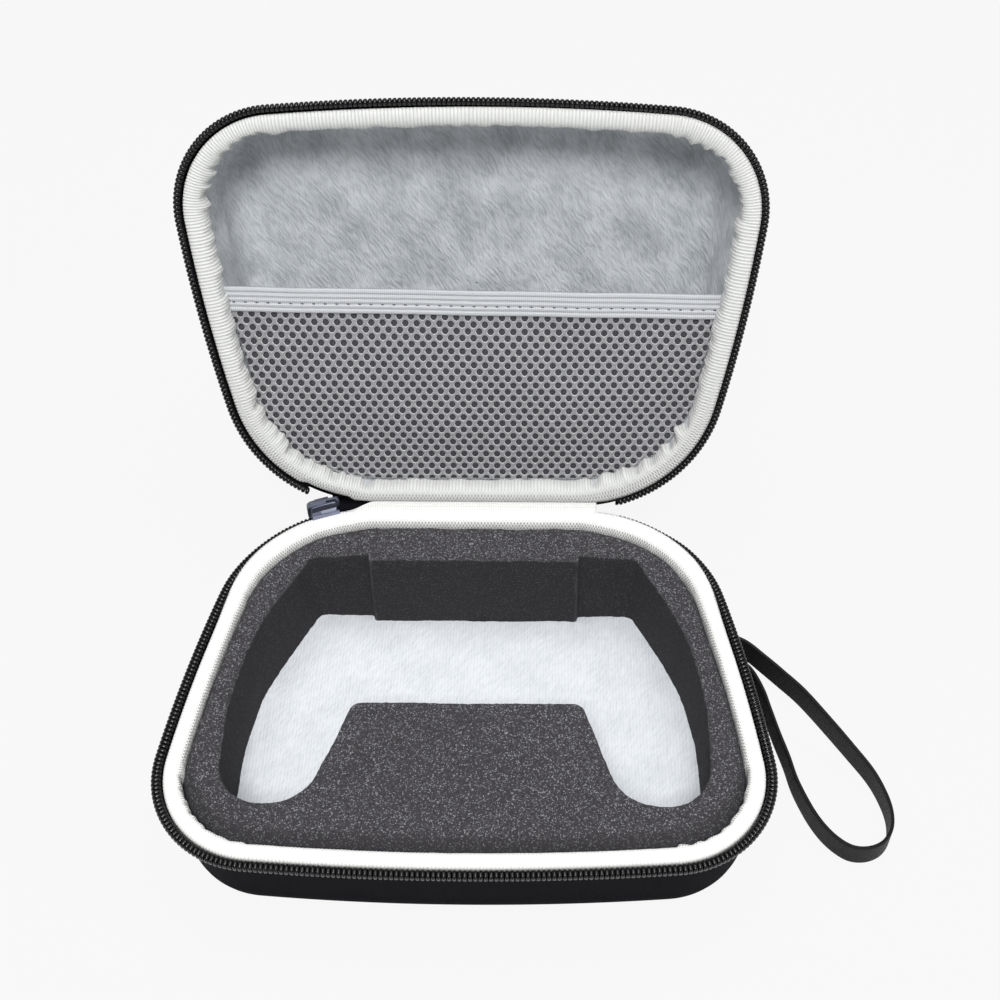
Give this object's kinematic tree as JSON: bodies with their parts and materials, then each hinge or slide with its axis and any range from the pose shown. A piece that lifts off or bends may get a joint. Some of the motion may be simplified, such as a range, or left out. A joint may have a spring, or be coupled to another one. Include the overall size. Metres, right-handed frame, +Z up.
{
  "type": "game controller carrying case",
  "caption": "Open hard carrying case for a game controller: zip-round clamshell with plush lining, cut foam insert, mesh pocket and wrist strap.",
  "frame": {"origin": "centre of the base's flat bottom face", "axes": "+Z up; the front of the case faces -Y and the hinge is at +Y; +X is the side with the wrist strap"},
  "size_m": [0.243, 0.2361, 0.179],
  "materials": {
    "shell_fabric": "smooth black woven polyester laminated on moulded foam board",
    "plush": "short pale grey plush",
    "foam": "open-cell foam, dark grey",
    "binding": "ribbed white woven tape",
    "zip_tape": "black woven zip tape",
    "zip_coil": "black nylon coil",
    "hinge_cloth": "black cloth",
    "hinge_lining": "pale grey cloth",
    "webbing": "black flat webbing",
    "zip_metal": "gunmetal plated zinc",
    "mesh": "grey knitted mesh",
    "elastic": "ribbed grey elastic"
  },
  "bodies": {
    "base": {"base_shell": "shell_fabric", "base_lining": "plush", "foam_insert": "foam", "base_binding": "binding", "base_zip_tape": "zip_tape", "base_zip_coil": "zip_coil", "hinge_cover": "hinge_cloth", "hinge_lining": "hinge_lining", "wrist_strap": "webbing", "zip_slider": "zip_metal"},
    "lid": {"lid_shell": "shell_fabric", "lid_lining": "plush", "lid_binding": "binding", "lid_zip_tape": "zip_tape", "lid_zip_coil": "zip_coil", "pocket_mesh": "mesh", "pocket_band": "elastic"},
    "puller": {"zip_puller": "zip_metal"}
  },
  "joints": [
    {"name": "lid_hinge", "type": "hinge", "parent": "base", "child": "lid", "pos_m": [0, 0.0732, 0.042], "axis": [1, 0, 0], "range_deg": [-68, 112], "deforming": ["hinge_cover", "hinge_lining"]},
    {"name": "puller_swing", "type": "hinge", "parent": "base", "child": "puller", "pos_m": [-0.05645, 0.07501, 0.042], "axis": [0.9396, 0.3423, 0], "range_deg": [-5, 10]}
  ]
}
